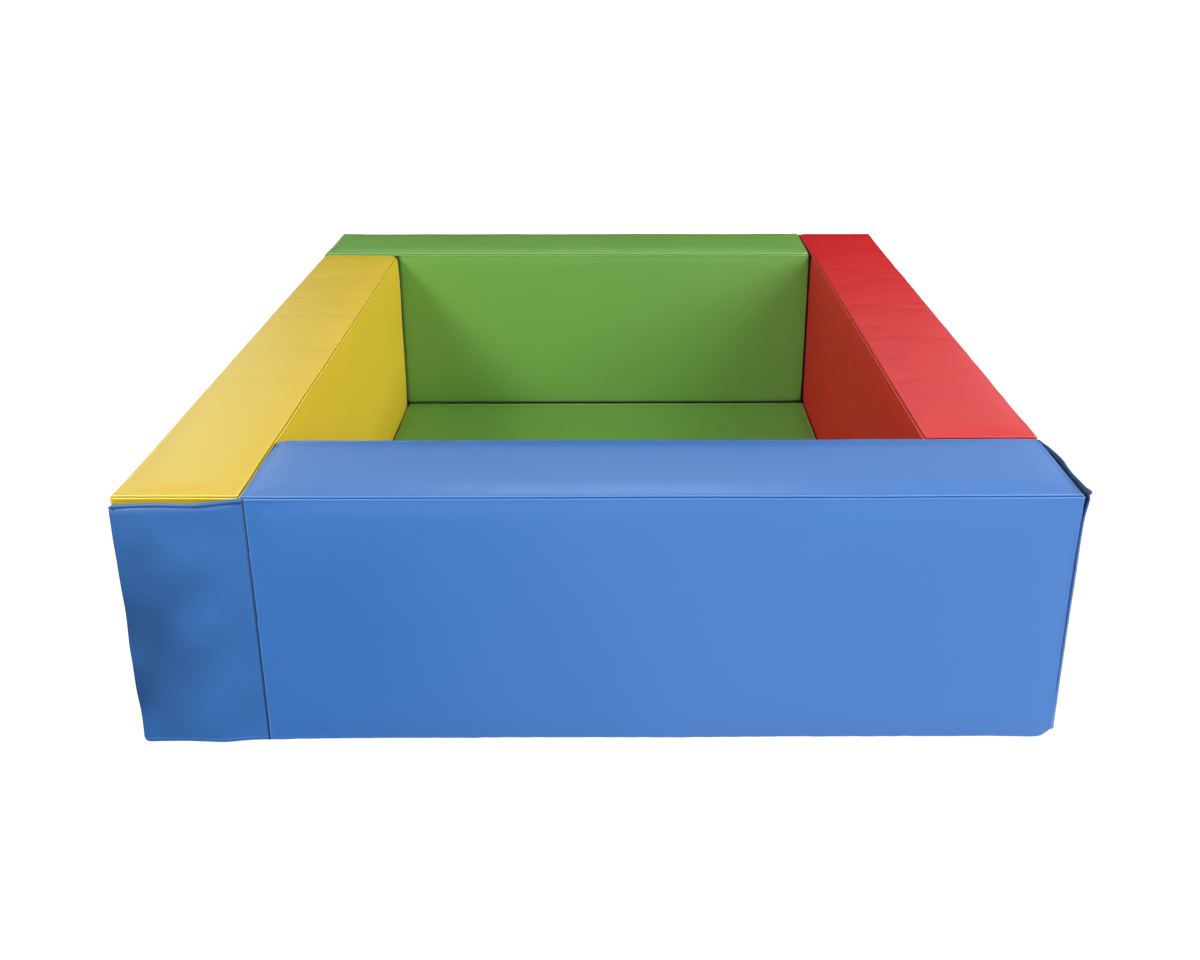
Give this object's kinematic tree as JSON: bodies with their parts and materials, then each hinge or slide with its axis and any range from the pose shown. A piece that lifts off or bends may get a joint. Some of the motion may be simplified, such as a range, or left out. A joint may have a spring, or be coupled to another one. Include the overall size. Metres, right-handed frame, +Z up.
{
  "type": "ball pit",
  "caption": "Square soft play ball pit: padded vinyl wall blocks laid in a pinwheel round a padded floor mat, joined by hook-and-loop corner flaps.",
  "frame": {"origin": "on the floor at the centre of the pit's square plan", "axes": "+Z up from the floor, +Y from the blue front wall to the green back wall, +X from the yellow left wall to the red right wall"},
  "size_m": [1.5214, 1.5214, 0.45],
  "materials": {
    "blue_vinyl": "satin PVC-coated fabric with a very fine leather-like grain",
    "red_vinyl": "satin PVC-coated fabric with a very fine leather-like grain",
    "green_vinyl": "satin PVC-coated fabric with a very fine leather-like grain",
    "yellow_vinyl": "satin PVC-coated fabric with a very fine leather-like grain",
    "foam": "cut polyurethane foam, hidden inside the covers",
    "hook_tape": "nylon hook tape, sewn on",
    "loop_tape": "brushed nylon loop tape, sewn on",
    "zip_tape": "woven polyester zip tape with a nylon coil",
    "zip_metal": "plain die-cast zip slider with no pull"
  },
  "bodies": {
    "floor_mat": {"floor_mat_cover": "green_vinyl", "floor_mat_foam": "foam", "floor_mat_zip_tape_outer": "zip_tape", "floor_mat_zip_tape_inner": "zip_tape"},
    "floor_mat_slider": {"floor_mat_zip_slider": "zip_metal"},
    "front_wall": {"front_wall_cover": "blue_vinyl", "front_wall_foam": "foam", "front_wall_zip_tape_outer": "zip_tape", "front_wall_zip_tape_inner": "zip_tape", "front_end_loop_strip": "loop_tape"},
    "front_flap": {"front_flap": "blue_vinyl", "front_flap_hook_strip": "hook_tape"},
    "front_wall_slider": {"front_wall_zip_slider": "zip_metal"},
    "right_wall": {"right_wall_cover": "red_vinyl", "right_wall_foam": "foam", "right_wall_zip_tape_outer": "zip_tape", "right_wall_zip_tape_inner": "zip_tape", "right_end_loop_strip": "loop_tape"},
    "right_flap": {"right_flap": "blue_vinyl", "right_flap_hook_strip": "hook_tape"},
    "right_wall_slider": {"right_wall_zip_slider": "zip_metal"},
    "back_wall": {"back_wall_cover": "green_vinyl", "back_wall_foam": "foam", "back_wall_zip_tape_outer": "zip_tape", "back_wall_zip_tape_inner": "zip_tape", "back_end_loop_strip": "loop_tape"},
    "back_flap": {"back_flap": "green_vinyl", "back_flap_hook_strip": "hook_tape"},
    "back_wall_slider": {"back_wall_zip_slider": "zip_metal"},
    "left_wall": {"left_wall_cover": "yellow_vinyl", "left_wall_foam": "foam", "left_wall_zip_tape_outer": "zip_tape", "left_wall_zip_tape_inner": "zip_tape", "left_end_loop_strip": "loop_tape"},
    "left_flap": {"left_flap": "yellow_vinyl", "left_flap_hook_strip": "hook_tape"},
    "left_wall_slider": {"left_wall_zip_slider": "zip_metal"}
  },
  "joints": [
    {"name": "floor_mat_zip_run", "type": "slide", "parent": "floor_mat", "child": "floor_mat_slider", "axis": [1, 0, 0], "range_m": [0, 0.885]},
    {"name": "front_wall_pull", "type": "slide", "parent": "floor_mat", "child": "front_wall", "axis": [0, -1, 0], "range_m": [0, 0.4]},
    {"name": "front_flap_open", "type": "hinge", "parent": "front_wall", "child": "front_flap", "pos_m": [-0.5448, -0.7515, 0], "axis": [0, 0, 1], "range_deg": [0, 170]},
    {"name": "front_zip_run", "type": "slide", "parent": "front_wall", "child": "front_wall_slider", "axis": [1, 0, 0], "range_m": [0, 1.08]},
    {"name": "right_wall_pull", "type": "slide", "parent": "floor_mat", "child": "right_wall", "axis": [1, 0, 0], "range_m": [0, 0.4]},
    {"name": "right_flap_open", "type": "hinge", "parent": "right_wall", "child": "right_flap", "pos_m": [0.7515, -0.5448, 0], "axis": [0, 0, 1], "range_deg": [0, 170]},
    {"name": "right_zip_run", "type": "slide", "parent": "right_wall", "child": "right_wall_slider", "axis": [0, 1, 0], "range_m": [0, 1.08]},
    {"name": "back_wall_pull", "type": "slide", "parent": "floor_mat", "child": "back_wall", "axis": [0, 1, 0], "range_m": [0, 0.4]},
    {"name": "back_flap_open", "type": "hinge", "parent": "back_wall", "child": "back_flap", "pos_m": [0.5448, 0.7515, 0], "axis": [0, 0, 1], "range_deg": [0, 170]},
    {"name": "back_zip_run", "type": "slide", "parent": "back_wall", "child": "back_wall_slider", "axis": [-1, 0, 0], "range_m": [0, 1.08]},
    {"name": "left_wall_pull", "type": "slide", "parent": "floor_mat", "child": "left_wall", "axis": [-1, 0, 0], "range_m": [0, 0.4]},
    {"name": "left_flap_open", "type": "hinge", "parent": "left_wall", "child": "left_flap", "pos_m": [-0.7515, 0.5448, 0], "axis": [0, 0, 1], "range_deg": [0, 170]},
    {"name": "left_zip_run", "type": "slide", "parent": "left_wall", "child": "left_wall_slider", "axis": [0, -1, 0], "range_m": [0, 1.08]}
  ]
}
